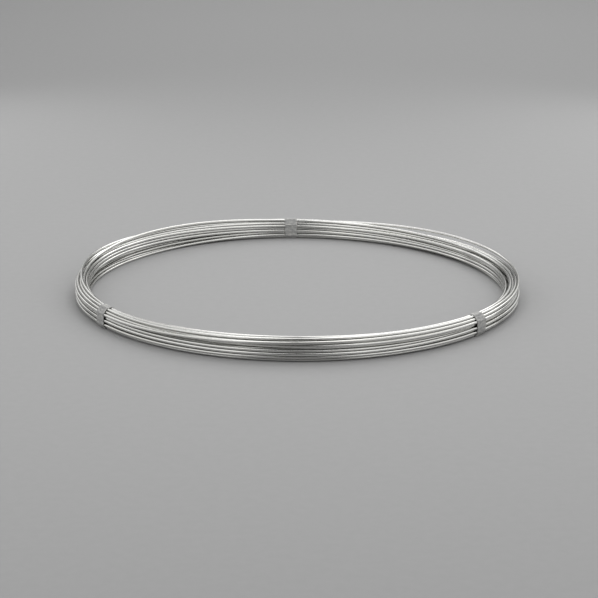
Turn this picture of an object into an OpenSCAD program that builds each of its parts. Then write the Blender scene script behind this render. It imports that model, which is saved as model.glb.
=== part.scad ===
// Coil of stainless steel wire. One length of hard drawn wire lies in many turns,
// bound by three bands of tape. The ring's axis is Z, and the bands under it
// touch z = 0, so the lowest turns ride just clear of the floor.

/* [Wire] */
// Diameter of the wire
wire_d = 4; // [3:0.1:5]
// Clear gap between a turn and the next one that rests against it
lay_gap = 0.2; // [0.1:0.05:0.6]
// Angle from the floor of the line between two turns that rest together
lay_angle = 50; // [45:1:58]

/* [Coil] */
// Clear diameter of the bore
bore_d = 560; // [400:5:800]
// Turns side by side in a wide row of the bundle
widest_row = 4; // [3:1:5]
// Pairs of a narrow and a wide row below the crown of the bundle
row_pairs = 3; // [2:1:4]
// Turns side by side in the top row
top_row = 2; // [2:1:3]

/* [Tape] */
// Width of a band, along the wire
tape_w = 18; // [12:1:30]
// Thickness of a band, with its overlapped wraps
tape_t = 0.4; // [0.2:0.1:1]
// Clearance between a band and the turns that it holds
tape_gap = 0.1; // [0.05:0.05:0.3]
// Place of the back band round the ring, from X towards Y
back_angle = 92; // [60:1:120]
// Place of the left band round the ring
left_angle = 213; // [180:1:240]
// Place of the right band round the ring
right_angle = 321; // [300:1:345]

/* [Hidden] */
// Sides of a wire's section, and of the whole ring when it is turned
$fn = 48;
ring_sides = 256;
// Steps in each rounded corner of a band
corner_steps = 6;
wire_r = wire_d / 2;
lay_pitch = wire_d + lay_gap;
// Centre distance of two turns in one row, and of one row to the next
turn_step = 2 * lay_pitch * cos(lay_angle);
row_step = lay_pitch * sin(lay_angle);
// The crown narrows by one turn a row, up to the top row
crown_rows = widest_row - top_row;
rows = 2 * row_pairs + crown_rows;
bundle_w = (widest_row - 1) * turn_step + wire_d;
ring_r = (bore_d + bundle_w) / 2;
// Height of the lowest turns' centres, above the band's underside
first_z = tape_t + tape_gap + wire_r;
// Distances from a turn's centre to the inside and the outside of a band
band_in = wire_r + tape_gap;
band_out = band_in + tape_t;
// Angle that a band is swept through before its edges are cut parallel, half as
// much again as the tape's width takes at the bore
sweep_share = 1.5;
band_sweep = sweep_share * 2 * atan(tape_w / bore_d);

// Turns in a row: narrow and wide rows in turn, then the crown
function turns_in(row) =
    row < 2 * row_pairs ? widest_row - 1 + row % 2 : rows - row + top_row - 1;
// From the bundle's middle to the outermost turn of a row
function half_row(row) = (turns_in(row) - 1) * turn_step / 2;
function row_z(row) = first_z + row * row_step;
band_top = row_z(rows - 1) + band_out;
// Points mirrored to the bore side of the bundle, from the top down
function bore_side(points) = [for (k = [len(points) - 1 : -1 : 0]) [-points[k].x, points[k].y]];

// The outermost turns' centres, from the bottom row up to the top one
outer_turns = [for (row = [0 : rows - 1]) [half_row(row), row_z(row)]];

// The four turns that a band bends over, each with the first and last
// direction of the bend
bends = [
    [half_row(0), row_z(0), -90, lay_angle - 90],
    [half_row(1), row_z(1), lay_angle - 90, 0],
    [half_row(1), row_z(2 * row_pairs - 1), 0, 90 - lay_angle],
    [half_row(rows - 1), row_z(rows - 1), 90 - lay_angle, 90]
];

// Points of one bend, at the distance out from the turn's centre
function bend_points(bend, out) = [
    for (step = [0 : corner_steps])
        let (a = bend[2] + (bend[3] - bend[2]) * step / corner_steps)
            [bend[0] + out * cos(a), bend[1] + out * sin(a)]
];

// Closed line stretched round the bundle, at the distance out from the turns
function wrapped_line(out) =
    let (right = [for (bend = bends) each bend_points(bend, out)])
        concat(right, bore_side(right));

// Section of all the turns, solid between the outermost ones
module bundle_section() {
    polygon(concat(outer_turns, bore_side(outer_turns)));
    for (row = [0 : rows - 1])
        for (turn = [0 : turns_in(row) - 1])
            translate([turn * turn_step - half_row(row), row_z(row)])
                circle(d = wire_d);
}

// The wound wire, as one turned ring with its turns in relief
module wire_coil() {
    color("gainsboro")
        rotate_extrude($fn = ring_sides)
            translate([ring_r, 0])
                bundle_section();
}

// A band of tape round the bundle, cut to one width
module tape_band(angle) {
    rotate([0, 0, angle])
        intersection() {
            rotate([0, 0, -band_sweep / 2])
                rotate_extrude(angle = band_sweep, $fn = ring_sides)
                    translate([ring_r, 0])
                        difference() {
                            polygon(wrapped_line(band_out));
                            polygon(wrapped_line(band_in));
                        }
            translate([ring_r - bundle_w, -tape_w / 2, -wire_d])
                cube([2 * bundle_w, tape_w, band_top + 2 * wire_d]);
        }
}

module tape_back() {
    color("darkgray") tape_band(back_angle);
}

module tape_left() {
    color("darkgray") tape_band(left_angle);
}

module tape_right() {
    color("darkgray") tape_band(right_angle);
}

wire_coil();
tape_back();
tape_left();
tape_right();
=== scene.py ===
"""A coil of stainless steel wire, bound by three tapes, on a pale studio floor."""
import functools
import math

import bpy
import numpy as np
from bpy.props import FloatProperty, FloatVectorProperty, IntProperty, PointerProperty
from mathutils import Euler, Matrix, Vector


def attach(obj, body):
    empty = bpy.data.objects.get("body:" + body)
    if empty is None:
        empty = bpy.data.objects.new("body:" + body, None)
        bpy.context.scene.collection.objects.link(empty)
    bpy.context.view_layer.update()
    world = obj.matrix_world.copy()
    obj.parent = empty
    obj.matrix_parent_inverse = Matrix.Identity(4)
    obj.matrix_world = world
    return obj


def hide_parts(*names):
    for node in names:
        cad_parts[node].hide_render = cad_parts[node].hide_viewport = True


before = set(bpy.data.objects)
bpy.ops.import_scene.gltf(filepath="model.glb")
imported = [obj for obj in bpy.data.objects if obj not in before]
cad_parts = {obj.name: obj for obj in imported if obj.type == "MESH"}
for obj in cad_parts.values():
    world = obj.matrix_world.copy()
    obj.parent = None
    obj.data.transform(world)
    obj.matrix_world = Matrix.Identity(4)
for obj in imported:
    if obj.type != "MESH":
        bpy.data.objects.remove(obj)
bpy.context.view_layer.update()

bl_info = {
    "name": "Wire Coil",
    "version": (1, 0, 0),
    "blender": (4, 5, 0),
    "location": "View3D > Sidebar > Wire Coil",
    "description": "Winds a coil of steel wire, binds it with tapes and sets the stage",
    "category": "Add Mesh",
}

MM = 0.001

# The bundle

# The three bands, by the angle of each round the coil, in degrees.
BANDS = {"back": 92.0, "left": 213.0, "right": 321.0}
# The wire starts under the left band and ends under the back one.
FULL_TURNS = 25
PASSES = FULL_TURNS + 1
# Wires in each row of the tight section, from the floor up.
ROW_COUNTS = (3, 4, 3, 4, 3, 4, 3, 2)
# The lowest and the highest of the widest rows, counted from 0.
WIDE_ROWS = (1, 5)
LAY_ANGLE = math.radians(50)
# How much taller the loose bundle stands than under a band, by the angle round the coil.
RISES = ((2, -0.09), (30, -0.40), (60, -0.18), (72, 0.06), (84, 0.09), (92, 0.036), (100, 0.12),
         (110, 0.26), (133, 0.30), (160, 0.19), (190, 0.10), (213, 0.0), (235, -0.04), (248, -0.10),
         (258, 0.0), (270, 0.14), (288, 0.42), (303, 0.24), (321, 0.0), (340, 0.06))
# How much wider it lies, towards the inside of the coil, by the same angle.
WIDTHS = ((0, 0.05), (15, 0.26), (30, 0.37), (55, 0.26), (85, 0.0), (200, 0.0), (350, 0.0))
# Bows that stand out from the others: knot number, bow in mm across and up, lean.
CHOSEN_BOWS = ((52, (3.0, 21.0), 1.45), (64, (2.0, -2.0), 1.0), (67, (2.0, -2.0), 1.0),
               (73, (2.0, -2.0), 1.0), (76, (0.0, 0.0), 1.0))
# Passes that move up one place over the end of the wire, from the lowest up.
PASSES_OVER_END = (10, 17, 24)

# How the turns settle, with lengths in mm

# Centres of two passes that lie side by side are no farther apart than this.
NEIGHBOUR_REACH = 4.6
# Stations of wire that stick out past the first and the last band.
TAIL = 6
# How large the bows are across the bundle and up, against the looseness.
BOW_SHAPE = (1.0, 1.08)
LEAN_SPREAD = 0.5
# How far a turn sags midway between two bands.
SAG = 0.4
# Half of the tight bundle's width between wire centres, in steps, with a little play.
HALF_WIDTH = 1.61
# Degrees to each side of a band's middle in which it holds the wires.
BAND_REACH = 1.95
ROUNDS = 900
# Passes are pushed apart to this many wire diameters.
APART = 1.01
# Share of the way back to the wanted path in each round, and the share of the rounds that have it.
PULL = 0.02
PULL_UNTIL = 0.6
# How stiff the wire is while it is pulled, and the share of the rounds by which this has eased off.
STIFFNESS = 300
STIFF_UNTIL = 0.995
# The least room between a loose wire and the floor.
FLOOR_ROOM = 0.03

# Details of the meshes, with lengths in metres

# The rings of each cut end: how far past the last station, and the share of the wire's radius.
CUT_RINGS = ((0.00045, 0.80), (0.00012, 0.96))
# The flat map keeps this share of a strip free at each edge, and has the cut faces in one spot.
STRIP_MARGIN = 0.04
STRIP_FILL = 1 - 2 * STRIP_MARGIN
CAP_SPOT = 0.999

# Where each tape starts, as a share of the way round the bundle from its lowest point.
TAPE_STARTS = {"back": 0.30, "left": 0.72, "right": 0.74}
FIRST_TAPE_SEED = 11
# Points round the bundle, strips across the tape, slices of the bundle under it, and sides of
# the circle that stands for a wire.
TAPE_POINTS = 180
TAPE_STRIPS = 26
TAPE_SLICES = 5
CIRCLE_SIDES = 24
# How much of the gap between two wires the film dips into, and the deepest dip.
DIP_SHARE = 0.45
DEEPEST_DIP = 0.0004
# The share of a turn in which the end climbs over the start, and the air that it keeps there.
CLIMB = 0.035
LAP_ROOM = 0.00005
# The share of a turn that lifts off at the end, how far, and how much more at one edge.
LIFTED = 0.04
LIFT = 0.0005
LIFT_SKEW = 0.3
# The film is drawn in at its two edges, more sharply the higher the power.
EDGE_DRAW = 0.00008
EDGE_POWER = 6
# The tape wanders from side to side once round, and less in four short waves.
LONG_SWAY = 0.00022
SHORT_SWAY = 0.0001
# Least height over the floor of the tape's outer and inner faces.
OUTER_FLOOR = 0.00002
INNER_FLOOR = 0.0003
# Small folds of the film: number of waves, shortest and longest wave, and what their sum is
# divided by.
FOLD_WAVES = 14
FOLD_LENGTHS = (0.002, 0.007)
FOLD_DEPTH = 9

# The stage, in metres and degrees

FLOOR_RADIUS = 9.0
FLOOR_RIM = 96
BACKDROP_RADIUS = 3.4
BACKDROP_BEND = 0.6
BACKDROP_TOP = 2.6
BACKDROP_LIFT = 0.002
# Lamps on both sides: name, place and aim on the right, width and height, and brightness.
PAIRED_LAMPS = (
    ("Side panel", (1.37, -0.31, 0.97), (0.06, 0.24, 0.1), (3.4, 1.9), "side_light"),
    ("Rear panel", (0.86, 1.0, 0.56), (0.42, 0.26, 0.0), (0.95, 0.85), "rear_light"),
    ("Middle lamp", (0.30, -0.05, 1.3), (0.30, -0.049, 0.0), (0.54, 1.35), "middle_light"),
)
SINGLE_LAMPS = (
    ("Top panel", (0.6, 2.6, 2.9), (0.0, 0.3, 0.0), (3.6, 2.95), "top_light"),
    ("Backdrop lamp", (0.0, 2.9, 1.6), (0.0, 2.7, 0.0), (5.0, 1.4), "backdrop_light"),
)
# The camera looks a little below and right of the coil's middle, and rolls a little.
AIM_DOWN = 0.2087
AIM_RIGHT = 0.0520
ROLL = 0.284

# Sockets of a colour mix: its two colours and its result.
MIX_FIRST = 6
MIX_SECOND = 7
MIX_RESULT = 2


# Settings

class WireSettings(bpy.types.PropertyGroup):
    """Sizes and finish of the wire."""
    diameter: FloatProperty(
        name="Wire diameter", description="Thickness of the wire",
        default=0.004, min=0.003, max=0.005, precision=4, unit="LENGTH")
    ring_radius: FloatProperty(
        name="Ring radius", description="From the coil's axis to the middle of the bundle",
        default=0.2901, min=0.2, max=0.42, precision=4, unit="LENGTH")
    lay_gap: FloatProperty(
        name="Lay gap", description="Room between neighbouring turns under a band",
        default=0.0002, min=0.0, max=0.0006, precision=5, unit="LENGTH")
    floor_gap: FloatProperty(
        name="Floor gap", description="Height of the lowest wire over the floor, under a band",
        default=0.0005, min=0.0, max=0.002, precision=5, unit="LENGTH")
    looseness: FloatProperty(
        name="Looseness", description="How far a turn bows out between two bands",
        default=0.0012, min=0.0, max=0.006, precision=4, unit="LENGTH")
    swaps: IntProperty(
        name="Crossings", description="Pairs of turns that change places between bands",
        default=6, min=0, max=20)
    seed: IntProperty(name="Seed", description="Picks the lie of the loose turns", default=5, min=0)
    stations: IntProperty(
        name="Stations", description="Cross-sections along one turn", default=270, min=90, max=360)
    sides: IntProperty(
        name="Sides", description="Sides of the round wire", default=14, min=6, max=14)
    colour: FloatVectorProperty(
        name="Steel colour", description="Reflected colour of the bare steel",
        default=(0.77, 0.77, 0.75), min=0.0, max=1.0, size=3, subtype="COLOR")
    roughness: FloatProperty(
        name="Steel roughness", description="Blur of the drawn surface",
        default=0.16, min=0.0, max=1.0, subtype="FACTOR")


class TapeSettings(bpy.types.PropertyGroup):
    """Sizes and finish of the binding tapes."""
    width: FloatProperty(
        name="Tape width", description="Width of each tape along the coil",
        default=0.018, min=0.012, max=0.030, precision=4, unit="LENGTH")
    thickness: FloatProperty(
        name="Tape thickness", description="Thickness of one layer of tape",
        default=0.0004, min=0.0001, max=0.001, precision=5, unit="LENGTH")
    gap: FloatProperty(
        name="Tape gap", description="Room between the wires and the tape",
        default=0.0001, min=0.0, max=0.001, precision=5, unit="LENGTH")
    overlap: FloatProperty(
        name="Overlap", description="Length of tape laid over its own start",
        default=0.034, min=0.01, max=0.06, precision=4, unit="LENGTH")
    crease: FloatProperty(
        name="Crease", description="Height of the small folds in the film",
        default=0.00018, min=0.0, max=0.001, precision=5, unit="LENGTH")
    colour: FloatVectorProperty(
        name="Tape colour", description="Colour of the plastic tape",
        default=(0.43, 0.43, 0.42), min=0.0, max=1.0, size=3, subtype="COLOR")
    roughness: FloatProperty(
        name="Tape roughness", description="Sheen of the tape, from glossy to dull",
        default=0.42, min=0.0, max=1.0, subtype="FACTOR")


class StageSettings(bpy.types.PropertyGroup):
    """Floor, lamps and camera."""
    floor_colour: FloatVectorProperty(
        name="Floor colour", description="Colour of the plain floor",
        default=(0.40, 0.40, 0.40), min=0.0, max=1.0, size=3, subtype="COLOR")
    side_light: FloatProperty(
        name="Side light", description="Brightness of the two long side panels",
        default=0.88, min=0.0, max=10.0)
    rear_light: FloatProperty(
        name="Rear light", description="Brightness of the two small panels behind the coil",
        default=0.6, min=0.0, max=10.0)
    top_light: FloatProperty(
        name="Top light", description="Brightness of the far panel above and behind the coil",
        default=1.9, min=0.0, max=20.0)
    middle_light: FloatProperty(
        name="Middle light",
        description="Brightness of the two small lamps over the middle of the coil",
        default=1.15, min=0.0, max=20.0)
    backdrop_light: FloatProperty(
        name="Backdrop light", description="Brightness of the lamp over the far floor",
        default=0.5, min=0.0, max=20.0)
    surroundings: FloatProperty(
        name="Surroundings", description="Grey level of the room round the stage",
        default=0.08, min=0.0, max=1.0, subtype="FACTOR")
    camera_distance: FloatProperty(
        name="Camera distance", description="From the camera to the middle of the coil",
        default=2.611, min=1.0, max=10.0, unit="LENGTH")
    camera_elevation: FloatProperty(
        name="Camera elevation", description="Height of the view over the floor",
        default=math.radians(16.59), min=0.0, max=1.5, subtype="ANGLE")
    lens: FloatProperty(
        name="Lens", description="Focal length on a 36 mm wide picture",
        default=115.56, min=20.0, max=300.0)


# The lie of the turns

def tight_places(pitch):
    """Places of the passes in the tight section, in winding order, in mm from the ring."""
    step = 2 * pitch * math.cos(LAY_ANGLE)
    row = pitch * math.sin(LAY_ANGLE)
    places = []
    for level, count in enumerate(ROW_COUNTS):
        line = [((k - (count - 1) / 2) * step, level * row) for k in range(count)]
        places += line if level % 2 == 0 else line[::-1]
    return np.array(places), step, row


def swap_neighbours(order, places, count, rng):
    """The same order with some neighbouring passes changed over."""
    order = order.copy()
    for _ in range(count):
        first = rng.integers(len(places))
        far = np.linalg.norm(places[order] - places[order[first]], axis=1)
        # A pass is at no distance from itself, and isn't its own neighbour.
        second = rng.choice(np.where((far > 0.1) & (far < NEIGHBOUR_REACH))[0])
        order[first], order[second] = order[second], order[first]
    return order


def exchange(order, one, other):
    """Lets two places in an order change over, each found by the pass that holds it."""
    first, second = (int(np.where(order == held)[0][0]) for held in (one, other))
    order[first], order[second] = order[second], order[first]


def stiffen(path, stiffness):
    """Evens out tight bends along the wire, as its stiffness does."""
    count = len(path)
    whole = np.concatenate([2 * path[0] - path[1:][::-1], path, 2 * path[-1] - path[:-1][::-1]])
    angle = 2 * np.pi * np.fft.rfftfreq(len(whole))
    gain = 1 / (1 + stiffness * (2 - 2 * np.cos(angle)) ** 2)
    share = np.linspace(0, 1, len(whole))[:, None]
    base = whole[0] * (1 - share) + whole[-1] * share
    waves = np.fft.rfft(whole - base, axis=0) * gain[:, None]
    return (np.fft.irfft(waves, len(whole), axis=0) + base)[count - 1:2 * count - 1]


def profile(stops, turned):
    """A value that changes round the coil, read between its stops."""
    return np.interp(turned, [angle for angle, _ in stops], [value for _, value in stops], period=360)


@functools.lru_cache(maxsize=2)
def settle_turns(diameter, lay_gap, floor_gap, looseness, swaps, seed, stations):
    """Lays the wire in the coil's section, pass by pass, pushing overlapping passes apart for a fixed
    number of rounds.

    All lengths are in mm. Returns the wire's offsets from the ring, station by station, and each
    station's number, counted from the left band.
    """
    rng = np.random.default_rng(seed)
    places, step, row = tight_places(diameter + lay_gap)
    lowest = floor_gap + diameter / 2
    places = places + (0.0, lowest)
    left_right = BANDS["right"] - BANDS["left"]
    left_back = BANDS["back"] + 360 - BANDS["left"]
    last = FULL_TURNS * stations + round(left_back / 360 * stations) + TAIL
    station = np.arange(-TAIL, last + 1)
    pass_of = station // stations + 1
    column = station % stations
    passes = pass_of.max() + 1

    # Which place each pass holds at each band.
    at_left = np.arange(PASSES)
    at_right = swap_neighbours(at_left, places, swaps, rng)
    at_back = swap_neighbours(at_right, places, swaps, rng)
    # The last pass ends low on the outside, and the passes over it there move up one place.
    for low, high in zip(PASSES_OVER_END, PASSES_OVER_END[1:]):
        exchange(at_back, low, high)
    lowest_over = int(np.where(at_back == PASSES_OVER_END[0])[0][0])
    at_back[lowest_over], at_back[PASSES - 1] = at_back[PASSES - 1], at_back[lowest_over]

    knots, spots = [], []
    for turn in range(PASSES):
        for angle, held in ((0.0, at_left), (left_right, at_right), (left_back, at_back)):
            knots.append((turn + angle / 360) * stations)
            spots.append(places[held[turn]])
    knots, spots = np.array(knots), np.array(spots)
    span = np.clip(np.searchsorted(knots, station, side="right") - 1, 0, len(knots) - 2)
    share = np.clip((station - knots[span]) / (knots[span + 1] - knots[span]), 0, 1)
    ease = (share * share * (3 - 2 * share))[:, None]
    path = spots[span] * (1 - ease) + spots[span + 1] * ease
    bow = rng.normal(0, looseness, (len(knots), 2)) * BOW_SHAPE
    # A bow leans towards one of its two bands.
    lean = np.exp(rng.uniform(-LEAN_SPREAD, LEAN_SPREAD, len(knots)))
    for knot, push, shift in CHOSEN_BOWS:
        bow[knot], lean[knot] = push, shift
    path = path + bow[span] * np.sin(np.pi * share ** lean[span])[:, None] ** 2
    middle = np.sin(np.pi * share) ** 2
    turned = (BANDS["left"] + station / stations * 360) % 360
    rise = profile(RISES, turned)
    spread = profile(WIDTHS, turned)
    limit = HALF_WIDTH * step
    path[:, 0] = path[:, 0] * (1 + spread) - limit * spread
    path[:, 1] = lowest + (path[:, 1] - lowest) * (1 + rise) - SAG * middle
    wanted = path.copy()

    present = np.zeros((passes, stations), bool)
    present[pass_of, column] = True
    angle = BANDS["left"] + np.arange(stations) / stations * 360
    away = np.min([np.abs((angle - band + 180) % 360 - 180) for band in BANDS.values()], axis=0)
    bound = (away < BAND_REACH)[column]
    tall = 1 + rise[bound]
    one, two = np.triu_indices(passes, 1)
    pairs = np.arange(len(one))
    sign = np.zeros((passes, len(one)))
    sign[one, pairs], sign[two, pairs] = 1, -1
    meets = present[one] & present[two]
    where = np.zeros((2, passes, stations))
    for turn in range(ROUNDS):
        # Passes that overlap push each other apart.
        where[:, pass_of, column] = path.T
        across = where[0][one] - where[0][two]
        up = where[1][one] - where[1][two]
        gap = np.sqrt(across * across + up * up) + 1e-9
        push = np.where(meets, np.clip(diameter * APART - gap, 0, None), 0)
        hits = np.maximum(1, np.abs(sign) @ (push > 0) * 0.5)
        push *= 0.5 / gap
        path[:, 0] += ((sign @ (push * across)) / hits)[pass_of, column]
        path[:, 1] += ((sign @ (push * up)) / hits)[pass_of, column]
        done = turn / ROUNDS
        if done < PULL_UNTIL:
            path += PULL * (wanted - path)
        if done < STIFF_UNTIL:
            left_over = 1 - max(0, done - PULL_UNTIL) / (STIFF_UNTIL - PULL_UNTIL)
            path = stiffen(path, 1 + STIFFNESS * left_over ** 2)
        # The floor and the three bands hold them in.
        path[:, 1] = np.maximum(path[:, 1], diameter / 2 + FLOOR_ROOM)
        path[:, 0] = np.clip(path[:, 0], -limit * (1 + 2 * spread), limit)
        path[bound] = hold_in_band(path[bound], step, row, lowest, tall)
    return path, station


def hold_in_band(spots, step, row, lowest, tall):
    """Moves spots that stand outside the tight section back to its edge."""
    highest = lowest + (len(ROW_COUNTS) - 1) * row * tall
    wide = 1.5 * step
    low_shoulder, high_shoulder = (lowest + level * row for level in WIDE_ROWS)
    corners = (((step, lowest), (wide, low_shoulder)), ((wide, high_shoulder), (step / 2, highest)))
    x, z = spots[:, 0], np.clip(spots[:, 1], lowest, highest)
    for side in (1, -1):
        x = np.where(side * x > wide, side * wide, x)
        for (from_x, from_z), (to_x, to_z) in corners:
            length = np.hypot(to_x - from_x, to_z - from_z)
            out_x, out_z = (to_z - from_z) / length, (from_x - to_x) / length
            over = np.clip((side * x - from_x) * out_x + (z - from_z) * out_z, 0, None)
            x, z = x - side * over * out_x, z - over * out_z
    return np.stack([x, z], 1)


def wire_path(wire):
    """The settled wire: its offsets in metres, station numbers and angles round the coil."""
    path, station = settle_turns(
        round(wire.diameter / MM, 4), round(wire.lay_gap / MM, 4), round(wire.floor_gap / MM, 4),
        round(wire.looseness / MM, 4), wire.swaps, wire.seed, wire.stations)
    angle = np.radians(BANDS["left"] + station / wire.stations * 360)
    return path * MM, station, angle


# Meshes

def mesh_object(name, verts, faces, smooth=True):
    """A new mesh object in the scene."""
    mesh = bpy.data.meshes.new(name)
    mesh.from_pydata(verts, [], faces)
    mesh.validate()
    mesh.polygons.foreach_set("use_smooth", np.full(len(mesh.polygons), smooth))
    mesh.update()
    piece = bpy.data.objects.new(name, mesh)
    bpy.context.scene.collection.objects.link(piece)
    return piece


def point_values(mesh, name, kind, field, values):
    """Gives the mesh a named value at each point, for its material."""
    layer = mesh.attributes.new(name, kind, "POINT")
    layer.data.foreach_set(field, values.ravel().astype(np.float32))


def tube_frames(path, angle, ring_radius):
    """Centres, tangents and the two cross directions along the wire."""
    out = np.stack([np.cos(angle), np.sin(angle), np.zeros_like(angle)], 1)
    centre = out * (ring_radius + path[:, :1])
    centre[:, 2] = path[:, 1]
    tangent = np.gradient(centre, axis=0)
    tangent /= np.linalg.norm(tangent, axis=1)[:, None]
    across = out - tangent * np.sum(out * tangent, axis=1)[:, None]
    across /= np.linalg.norm(across, axis=1)[:, None]
    down = np.cross(tangent, across)
    return centre, tangent, across, down


def grid_faces(rows, sides):
    """Quads of a closed tube of rows of points."""
    row, side = np.meshgrid(np.arange(rows - 1), np.arange(sides), indexing="ij")
    start, after = row * sides, (row + 1) * sides
    following = (side + 1) % sides
    corners = [start + side, start + following, after + following, after + side]
    return np.stack(corners, -1).reshape(-1, 4)


def room_beside(path, wire):
    """How far each side of the wire stands from the nearest other turn, station by station."""
    turn = 2 * np.pi * np.arange(wire.sides) / wire.sides
    radius = wire.diameter / 2
    # The second cross direction of the tube points down.
    side = path[:, None] + radius * np.stack([np.cos(turn), -np.sin(turn)], 1)[None]
    number = np.arange(len(path))
    room = np.full(side.shape[:2], wire.diameter)
    for away in range(-PASSES, PASSES + 1):
        other = number + away * wire.stations
        there = (other >= 0) & (other < len(path))
        if away != 0 and there.any():
            far = np.linalg.norm(side[there] - path[other[there]][:, None], axis=2) - radius
            room[there] = np.minimum(room[there], far)
    return room


def with_ends(rows):
    """The rows, with the first and the last repeated for the rings of the cut ends."""
    rings = len(CUT_RINGS)
    return np.concatenate([rows[:1]] * rings + [rows] + [rows[-1:]] * rings)


def build_wire(wire):
    """One continuous round wire along the settled path, with its two cut ends."""
    path, station, angle = wire_path(wire)
    centre, tangent, across, down = tube_frames(path, angle, wire.ring_radius)
    sides, radius = wire.sides, wire.diameter / 2
    # Each end narrows to the face that the cutter left.
    past, share = np.array(CUT_RINGS).T
    head = centre[:1] - tangent[:1] * past[:, None]
    tail = centre[-1:] + tangent[-1:] * past[::-1, None]
    middles = np.concatenate([head, centre, tail])
    size = np.concatenate([share, np.ones(len(centre)), share[::-1]]) * radius
    turn = 2 * np.pi * np.arange(sides) / sides
    cosine, sine = np.cos(turn), np.sin(turn)
    ring = cosine[None, :, None] * with_ends(across)[:, None]
    ring = ring + sine[None, :, None] * with_ends(down)[:, None]
    verts = (middles[:, None] + ring * size[:, None, None]).reshape(-1, 3)
    rows = len(middles)
    faces = [tuple(face) for face in grid_faces(rows, sides)]
    faces.append(tuple(range(sides))[::-1])
    faces.append(tuple((rows - 1) * sides + k for k in range(sides)))
    piece = mesh_object("Wire", verts.tolist(), faces)
    mesh = piece.data

    # Coordinates of the wire as if it lay straight, for the drawing marks.
    run = np.concatenate([[0], np.cumsum(np.linalg.norm(np.diff(middles, axis=0), axis=1))])
    straight = np.empty((rows, sides, 3))
    straight[..., 0] = cosine * radius
    straight[..., 1] = sine * radius
    straight[..., 2] = run[:, None]
    point_values(mesh, "straight_wire", "FLOAT_VECTOR", "vector", straight)
    room = with_ends(room_beside(path, wire)) / wire.diameter
    point_values(mesh, "room_beside", "FLOAT", "value", room)
    lay_out_wire(mesh, with_ends(station), wire)
    for face in list(mesh.polygons)[-2:]:
        face.use_smooth = False
    return piece


def lay_out_wire(mesh, number, wire):
    """Lays the wire on a flat map, with one strip for each turn."""
    sides = wire.sides
    row, side = np.meshgrid(np.arange(len(number) - 1), np.arange(sides), indexing="ij")
    first = number[:-1][row]
    strip = first // wire.stations + 1
    left = (first % wire.stations) / wire.stations
    right = left + (number[1:] - number[:-1])[row] / wire.stations
    low, high = ((strip + STRIP_MARGIN + STRIP_FILL * (side + k) / sides) / (PASSES + 1) for k in (0, 1))
    flat = np.stack([left, low, left, high, right, high, right, low], -1).reshape(-1)
    caps = np.tile([CAP_SPOT, CAP_SPOT], 2 * sides)
    layer = mesh.uv_layers.new(name="OFBake")
    layer.data.foreach_set("uv", np.concatenate([flat, caps]).astype(np.float32))


def convex_outline(points):
    """The convex outline of a set of flat points, counterclockwise."""
    points = sorted(set(map(tuple, np.round(points, 7))))

    def turns_left(before, corner, after):
        return ((corner[0] - before[0]) * (after[1] - before[1])
                - (corner[1] - before[1]) * (after[0] - before[0])) > 0

    def chain(ordered):
        line = []
        for point in ordered:
            while len(line) > 1 and not turns_left(line[-2], line[-1], point):
                line.pop()
            line.append(point)
        return line[:-1]

    return np.array(chain(points) + chain(points[::-1]))


def outline_walk(outline, count):
    """Points evenly spaced along a closed outline, from its lowest point on, with outward normals."""
    # Of several lowest points, the one nearest to the middle is taken.
    start = int(np.argmin(outline[:, 1] + 1e-3 * np.abs(outline[:, 0])))
    outline = np.roll(outline, -start, axis=0)
    closed = np.vstack([outline, outline[:1]])
    run = np.concatenate([[0], np.cumsum(np.linalg.norm(np.diff(closed, axis=0), axis=1))])
    at = np.linspace(0, run[-1], count, endpoint=False)
    spots = np.stack([np.interp(at, run, closed[:, k]) for k in (0, 1)], 1)
    along = np.roll(spots, -1, axis=0) - np.roll(spots, 1, axis=0)
    along /= np.linalg.norm(along, axis=1)[:, None]
    return spots, np.stack([along[:, 1], -along[:, 0]], 1), run[-1]


def band_section(wire, angle_deg):
    """Where the passes stand in the section plane at an angle round the coil."""
    path, station, _ = wire_path(wire)
    at = (angle_deg - BANDS["left"]) / 360 * wire.stations
    numbers = at + wire.stations * np.arange(-1, PASSES + 1)
    numbers = numbers[(numbers >= station[0]) & (numbers <= station[-1])]
    return np.stack([np.interp(numbers, station, path[:, k]) for k in (0, 1)], 1)


def crinkle(along, across, rng):
    """Small folds of the stretched film, from 0 to 1, at points given in metres."""
    total = 0
    for _ in range(FOLD_WAVES):
        turn = rng.uniform(0, np.pi)
        length = rng.uniform(*FOLD_LENGTHS)
        phase = rng.uniform(0, 2 * np.pi)
        run = along * np.cos(turn) + across * np.sin(turn)
        total = total + np.sin(2 * np.pi * run / length + phase)
    return np.clip(0.5 + total / FOLD_DEPTH, 0, 1)


def tape_faces(steps, strips):
    """Faces of a thin sheet with two sides and a closed rim, inner side first."""
    wide = strips + 1
    other = (steps + 1) * wide
    faces = []
    for i in range(steps):
        for j in range(strips):
            here, ahead = i * wide + j, (i + 1) * wide + j
            faces.append((here, here + 1, ahead + 1, ahead))
            faces.append((other + here, other + ahead, other + ahead + 1, other + here + 1))
    for i in range(steps):
        for j in (0, strips):
            here, ahead = i * wide + j, (i + 1) * wide + j
            quad = (here, ahead, other + ahead, other + here)
            faces.append(quad if j == 0 else quad[::-1])
    for j in range(strips):
        here, ahead = j, steps * wide + j
        faces.append((here, other + here, other + here + 1, here + 1))
        faces.append((ahead, ahead + 1, other + ahead + 1, other + ahead))
    return faces


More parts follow.
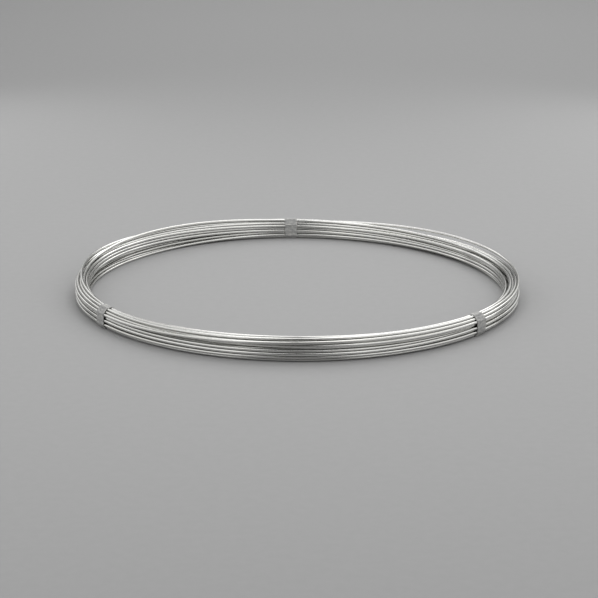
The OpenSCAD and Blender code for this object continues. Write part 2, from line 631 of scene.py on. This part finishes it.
def build_tape(name, wire, tape, angle_deg, start_share, seed):
    """One tape wound round the bundle, with its end laid over its start."""
    rng = np.random.default_rng(seed)
    turn = 2 * np.pi * np.arange(CIRCLE_SIDES) / CIRCLE_SIDES
    circle = np.stack([np.cos(turn), np.sin(turn)], 1) * wire.diameter / 2
    half = math.degrees(tape.width / 2 / wire.ring_radius)
    slices = np.linspace(-half, half, TAPE_SLICES)
    spots = np.concatenate([band_section(wire, angle_deg + shift) for shift in slices])
    outline = convex_outline((spots[:, None] + circle[None]).reshape(-1, 2))
    walk, normal, length = outline_walk(outline, TAPE_POINTS)
    near = np.min(np.linalg.norm(walk[:, None] - spots[None], axis=2), axis=1) - wire.diameter / 2
    # The stretched film dips a little between two wires.
    dip = np.minimum(DIP_SHARE * near, DEEPEST_DIP)

    # The way along the tape, in turns round the bundle.
    lap = tape.overlap / length
    steps = int(round((1 + lap) * TAPE_POINTS))
    way = start_share + np.linspace(0, 1 + lap, steps + 1)
    climbed = np.clip((way - start_share - 1 + CLIMB) / CLIMB, 0, 1)
    climbed = climbed * climbed * (3 - 2 * climbed)
    index = way * TAPE_POINTS
    low = np.floor(index).astype(int) % TAPE_POINTS
    high = (low + 1) % TAPE_POINTS
    part = (index % 1)[:, None]
    point = walk[low] * (1 - part) + walk[high] * part
    facing = normal[low] * (1 - part) + normal[high] * part
    facing /= np.linalg.norm(facing, axis=1)[:, None]
    sink = dip[low] * (1 - part[:, 0]) + dip[high] * part[:, 0]
    base = tape.gap + climbed * (tape.thickness + LAP_ROOM) - sink
    # The loose end lifts a little, and the tape wanders a little from side to side.
    lift = np.clip((way - way[-1] + LIFTED) / LIFTED, 0, 1) ** 2 * LIFT
    # Two of these six draws are used. All six are drawn, so that the folds keep their own.
    phases = rng.uniform(0, 2 * np.pi, 6)
    long_phase, short_phase = phases[2], phases[3]
    across = np.linspace(-1, 1, TAPE_STRIPS + 1)
    folds = tape.crease * crinkle((way % 1)[:, None] * length, across[None] * tape.width / 2, rng)

    verts, film = [], []
    for outer in (0.0, 1.0):
        lowest = OUTER_FLOOR if outer else INNER_FLOOR
        for i, turned in enumerate(way):
            sway = LONG_SWAY * math.sin(2 * np.pi * turned + long_phase)
            sway += SHORT_SWAY * math.sin(8 * np.pi * turned + short_phase)
            for j, place in enumerate(across):
                edge = EDGE_DRAW * abs(place) ** EDGE_POWER
                off = base[i] + lift[i] * (1 + LIFT_SKEW * place) + folds[i, j] - edge
                off += tape.thickness * outer
                spot = point[i] + facing[i] * off
                side = place * tape.width / 2 + sway
                swing = math.radians(angle_deg) + side / wire.ring_radius
                reach = wire.ring_radius + spot[0]
                verts.append((reach * math.cos(swing), reach * math.sin(swing), max(spot[1], lowest)))
                film.append((turned * length, place * tape.width / 2, outer * tape.thickness))
    piece = mesh_object(name, verts, tape_faces(steps, TAPE_STRIPS))
    point_values(piece.data, "film", "FLOAT_VECTOR", "vector", np.array(film, np.float32))
    return piece


# Materials

def new_material(name):
    """A material with an empty node tree, its shader and a helper that adds nodes."""
    mat = bpy.data.materials.new(name)
    mat.use_nodes = True
    tree = mat.node_tree
    shader = tree.nodes["Principled BSDF"]

    def add(kind, values=None, links=None, **settings):
        node = tree.nodes.new(kind)
        for key, value in settings.items():
            setattr(node, key, value)
        for key, value in (values or {}).items():
            node.inputs[key].default_value = value
        for key, source in (links or {}).items():
            tree.links.new(source, node.inputs[key])
        return node

    return mat, tree, shader, add


def shade(colour, factors):
    """A colour with each of its three parts made lighter or darker."""
    return tuple(min(1.0, part * factor) for part, factor in zip(colour, factors))


def stretched_noise(add, source, scale, detail, roughness):
    """Noise at a scale for each of the source's three directions, in waves to a metre."""
    spread = add("ShaderNodeMapping", {"Scale": scale}, {"Vector": source})
    noise = add("ShaderNodeTexNoise", {"Scale": 1.0, "Detail": detail, "Roughness": roughness},
                {"Vector": spread.outputs["Vector"]})
    return noise.outputs["Fac"]


def tones(add, source, *stops):
    """A colour read between stops, each with its place from 0 to 1 and its colour."""
    node = add("ShaderNodeValToRGB", links={"Fac": source})
    band = node.color_ramp
    while len(band.elements) < len(stops):
        band.elements.new(0.5)
    for element, (place, colour) in zip(band.elements, stops):
        element.position = place
        element.color = (*colour, 1.0)
    return node.outputs["Color"]


def multiply(tree, add, first, second, factor):
    """The first colour multiplied by the second, in part or in full."""
    mix = add("ShaderNodeMix", {"Factor": factor}, data_type="RGBA", blend_type="MULTIPLY")
    tree.links.new(first, mix.inputs[MIX_FIRST])
    tree.links.new(second, mix.inputs[MIX_SECOND])
    return mix.outputs[MIX_RESULT]


def between(add, source, source_range, result_range):
    """A value moved from one range to another."""
    values = dict(zip(("From Min", "From Max", "To Min", "To Max"), (*source_range, *result_range)))
    return add("ShaderNodeMapRange", values, {"Value": source}).outputs["Result"]


def steel_material(wire):
    """Bright drawn stainless steel.

    It has lines from the die, faint drifts of tone, dull patches, and painted shade: the colour is
    darkened where turns touch, standing in for the shade between them.
    """
    mat, tree, shader, add = new_material("Drawn stainless steel")
    steel = tuple(wire.colour)
    marks = add("ShaderNodeAttribute", attribute_name="straight_wire").outputs["Vector"]
    fine = stretched_noise(add, marks, (5200.0, 5200.0, 26.0), 4.0, 0.6)
    drift = stretched_noise(add, marks, (260.0, 260.0, 5.0), 3.0, 0.55)
    spots = stretched_noise(add, marks, (420.0, 420.0, 14.0), 5.0, 0.7)
    dull, bright = shade(steel, (0.90, 0.895, 0.875)), shade(steel, (1.05, 1.045, 1.03))
    tone = tones(add, drift, (0.30, dull), (0.52, steel), (0.72, bright))
    lines = tones(add, fine, (0.34, (0.86, 0.86, 0.85)), (0.56, (1.0, 1.0, 1.0)))
    bare = multiply(tree, add, tone, lines, 0.55)
    # The room beside the wire is given in wire diameters.
    beside = add("ShaderNodeAttribute", attribute_name="room_beside").outputs["Fac"]
    # Painted shade: the colour grows darker as another turn lies closer, standing in for the shade
    # between turns.
    painted_crevice_shade = tones(add, beside, (0.01, (0.14, 0.14, 0.13)), (0.08, (0.42, 0.42, 0.41)),
                 (0.22, (1.0, 1.0, 1.0)))
    rough = between(add, spots, (0.32, 0.72), (wire.roughness - 0.03, wire.roughness + 0.05))
    bump = add("ShaderNodeBump", {"Strength": 0.04, "Distance": 0.00001}, {"Height": fine})
    shader.inputs["Metallic"].default_value = 1.0
    tree.links.new(multiply(tree, add, bare, painted_crevice_shade, 1.0), shader.inputs["Base Color"])
    tree.links.new(rough, shader.inputs["Roughness"])
    tree.links.new(bump.outputs["Normal"], shader.inputs["Normal"])
    return mat


def tape_material(tape):
    """Satin grey plastic film, stretched over the wires, with pale stress marks and fine grain."""
    mat, tree, shader, add = new_material("Grey binding film")
    grey = tuple(tape.colour)
    film = add("ShaderNodeAttribute", attribute_name="film").outputs["Vector"]
    cloud = stretched_noise(add, film, (260.0, 160.0, 100.0), 5.0, 0.65)
    stretch = stretched_noise(add, film, (90.0, 2600.0, 100.0), 3.0, 0.6)
    dark, pale = shade(grey, (0.70, 0.70, 0.71)), shade(grey, (1.32, 1.32, 1.27))
    tone = tones(add, cloud, (0.36, dark), (0.50, grey), (0.64, pale))
    streaks = tones(add, stretch, (0.36, (0.80, 0.80, 0.80)), (0.62, (1.0, 1.0, 1.0)))
    rough = between(add, cloud, (0.3, 0.7), (tape.roughness - 0.08, tape.roughness + 0.12))
    dents = add("ShaderNodeBump", {"Strength": 0.4, "Distance": 0.00006}, {"Height": cloud})
    grain = add("ShaderNodeBump", {"Strength": 0.3, "Distance": 0.00002},
                {"Height": stretch, "Normal": dents.outputs["Normal"]})
    tree.links.new(multiply(tree, add, tone, streaks, 0.6), shader.inputs["Base Color"])
    tree.links.new(rough, shader.inputs["Roughness"])
    tree.links.new(grain.outputs["Normal"], shader.inputs["Normal"])
    return mat


def floor_material(stage):
    """Plain matt floor paper with the faintest grain."""
    mat, tree, shader, add = new_material("Floor paper")
    colour = tuple(stage.floor_colour)
    where = add("ShaderNodeTexCoord").outputs["Object"]
    grain = add("ShaderNodeTexNoise", {"Scale": 90.0, "Detail": 4.0}, {"Vector": where}).outputs["Fac"]
    tone = tones(add, grain, (0.3, shade(colour, (0.985,) * 3)), (0.7, shade(colour, (1.015,) * 3)))
    tree.links.new(tone, shader.inputs["Base Color"])
    shader.inputs["Roughness"].default_value = 0.85
    shader.inputs["Specular IOR Level"].default_value = 0.2
    return mat


# The stage

def add_panel(name, place, target, size, radiance):
    """A soft rectangular lamp that faces a point."""
    lamp = bpy.data.lights.new(name, "AREA")
    lamp.shape = "RECTANGLE"
    lamp.size, lamp.size_y = size
    lamp.energy = radiance * math.pi * size[0] * size[1]
    panel = bpy.data.objects.new(name, lamp)
    panel.location = place
    panel.rotation_euler = (Vector(target) - Vector(place)).to_track_quat("-Z", "Y").to_euler()
    panel.visible_camera = False
    bpy.context.scene.collection.objects.link(panel)


def hang_lamps(stage):
    """Hangs the paired lamps on both sides of the coil, and then the single ones."""
    for side in (-1, 1):
        for name, (x, *place), (aim_x, *aim), size, light in PAIRED_LAMPS:
            add_panel(name, (side * x, *place), (side * aim_x, *aim), size, getattr(stage, light))
    for name, place, aim, size, light in SINGLE_LAMPS:
        add_panel(name, place, aim, size, getattr(stage, light))


def lay_floor(stage):
    """Lays a round floor and stands a bent backdrop behind the coil, of the same paper."""
    angles = [2 * math.pi * k / FLOOR_RIM for k in range(FLOOR_RIM)]
    rim = [(FLOOR_RADIUS * math.cos(angle), FLOOR_RADIUS * math.sin(angle), 0) for angle in angles]
    faces = [(0, k + 1, (k + 1) % FLOOR_RIM + 1) for k in range(FLOOR_RIM)]
    floor = mesh_object("Floor", [(0, 0, 0)] + rim, faces, smooth=False)

    # The backdrop's section, in reach and height: flat on the floor, bent up, then upright.
    bends = [(BACKDROP_RADIUS, BACKDROP_LIFT)]
    for angle in np.radians(np.arange(10, 91, 10)):
        bends.append((BACKDROP_RADIUS + BACKDROP_BEND * math.sin(angle),
                      BACKDROP_BEND + BACKDROP_LIFT - BACKDROP_BEND * math.cos(angle)))
    bends.append((BACKDROP_RADIUS + BACKDROP_BEND, BACKDROP_TOP))
    swing = np.radians(np.arange(15, 166, 5))
    verts = [(reach * math.cos(angle), reach * math.sin(angle), height)
             for angle in swing for reach, height in bends]
    wide = len(bends)
    faces = [(i * wide + j, i * wide + j + 1, (i + 1) * wide + j + 1, (i + 1) * wide + j)
             for i in range(len(swing) - 1) for j in range(wide - 1)]
    backdrop = mesh_object("Backdrop", verts, faces)
    paper = floor_material(stage)
    for sheet in (floor, backdrop):
        sheet.data.materials.append(paper)


def stand_camera(scene, stage):
    """Stands the camera in front of the coil, at the photograph's angle."""
    data = bpy.data.cameras.new("Camera")
    data.sensor_width = 36.0
    data.lens = stage.lens
    data.clip_end = 100
    camera = bpy.data.objects.new("Camera", data)
    far, rise = stage.camera_distance, stage.camera_elevation
    camera.location = (0, -far * math.cos(rise), far * math.sin(rise))
    pitch = math.pi / 2 - rise - math.radians(AIM_DOWN)
    yaw = -math.radians(AIM_RIGHT)
    turn = Euler((pitch, 0, yaw), "XYZ").to_matrix() @ Matrix.Rotation(math.radians(ROLL), 3, "Z")
    camera.rotation_euler = turn.to_euler()
    scene.collection.objects.link(camera)
    bpy.context.scene.camera = camera


# Operators

class WIRECOIL_OT_wind_wire(bpy.types.Operator):
    """Wind the wire into its coil"""
    bl_idname = "wirecoil.wind_wire"
    bl_label = "Wind the wire"

    def execute(self, context):
        wire = context.scene.wire_coil_wire
        piece = build_wire(wire)
        piece.data.materials.append(steel_material(wire))
        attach(piece, "root")
        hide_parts("wire_coil")
        return {"FINISHED"}


class WIRECOIL_OT_bind_tapes(bpy.types.Operator):
    """Wrap the three tapes round the bundle"""
    bl_idname = "wirecoil.bind_tapes"
    bl_label = "Bind with tapes"

    def execute(self, context):
        wire, tape = context.scene.wire_coil_wire, context.scene.wire_coil_tape
        film = tape_material(tape)
        for seed, (side, angle) in enumerate(BANDS.items(), FIRST_TAPE_SEED):
            piece = build_tape("Tape_" + side, wire, tape, angle, TAPE_STARTS[side], seed)
            piece.data.materials.append(film)
            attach(piece, "root")
            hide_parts("tape_" + side)
        return {"FINISHED"}


class WIRECOIL_OT_set_stage(bpy.types.Operator):
    """Lay the floor, hang the lamps and stand the camera"""
    bl_idname = "wirecoil.set_stage"
    bl_label = "Set the stage"

    def execute(self, context):
        scene, stage = context.scene, context.scene.wire_coil_stage
        lay_floor(stage)
        hang_lamps(stage)
        world = bpy.data.worlds.new("Studio")
        world.use_nodes = True
        level = stage.surroundings
        world.node_tree.nodes["Background"].inputs["Color"].default_value = (level, level, level, 1)
        scene.world = world
        scene.view_settings.view_transform = "Standard"
        stand_camera(scene, stage)
        return {"FINISHED"}


class WIRECOIL_PT_panel(bpy.types.Panel):
    """Settings and steps of the wire coil"""
    bl_label = "Wire Coil"
    bl_idname = "WIRECOIL_PT_panel"
    bl_space_type = "VIEW_3D"
    bl_region_type = "UI"
    bl_category = "Wire Coil"

    def draw(self, context):
        scene = context.scene
        for operator, settings in (("wirecoil.wind_wire", scene.wire_coil_wire),
                                   ("wirecoil.bind_tapes", scene.wire_coil_tape),
                                   ("wirecoil.set_stage", scene.wire_coil_stage)):
            box = self.layout.box()
            box.operator(operator)
            for key in settings.__annotations__:
                box.prop(settings, key)


CLASSES = (WireSettings, TapeSettings, StageSettings, WIRECOIL_OT_wind_wire,
           WIRECOIL_OT_bind_tapes, WIRECOIL_OT_set_stage, WIRECOIL_PT_panel)


def register():
    """Adds the settings, the operators and the panel."""
    for cls in CLASSES:
        bpy.utils.register_class(cls)
    bpy.types.Scene.wire_coil_wire = PointerProperty(type=WireSettings)
    bpy.types.Scene.wire_coil_tape = PointerProperty(type=TapeSettings)
    bpy.types.Scene.wire_coil_stage = PointerProperty(type=StageSettings)


def unregister():
    """Takes them away again."""
    del bpy.types.Scene.wire_coil_stage
    del bpy.types.Scene.wire_coil_tape
    del bpy.types.Scene.wire_coil_wire
    for cls in reversed(CLASSES):
        bpy.utils.unregister_class(cls)


def main():
    """Builds the whole scene."""
    register()
    bpy.ops.wirecoil.set_stage()
    bpy.ops.wirecoil.wind_wire()
    bpy.ops.wirecoil.bind_tapes()


if __name__ == "__main__":
    main()
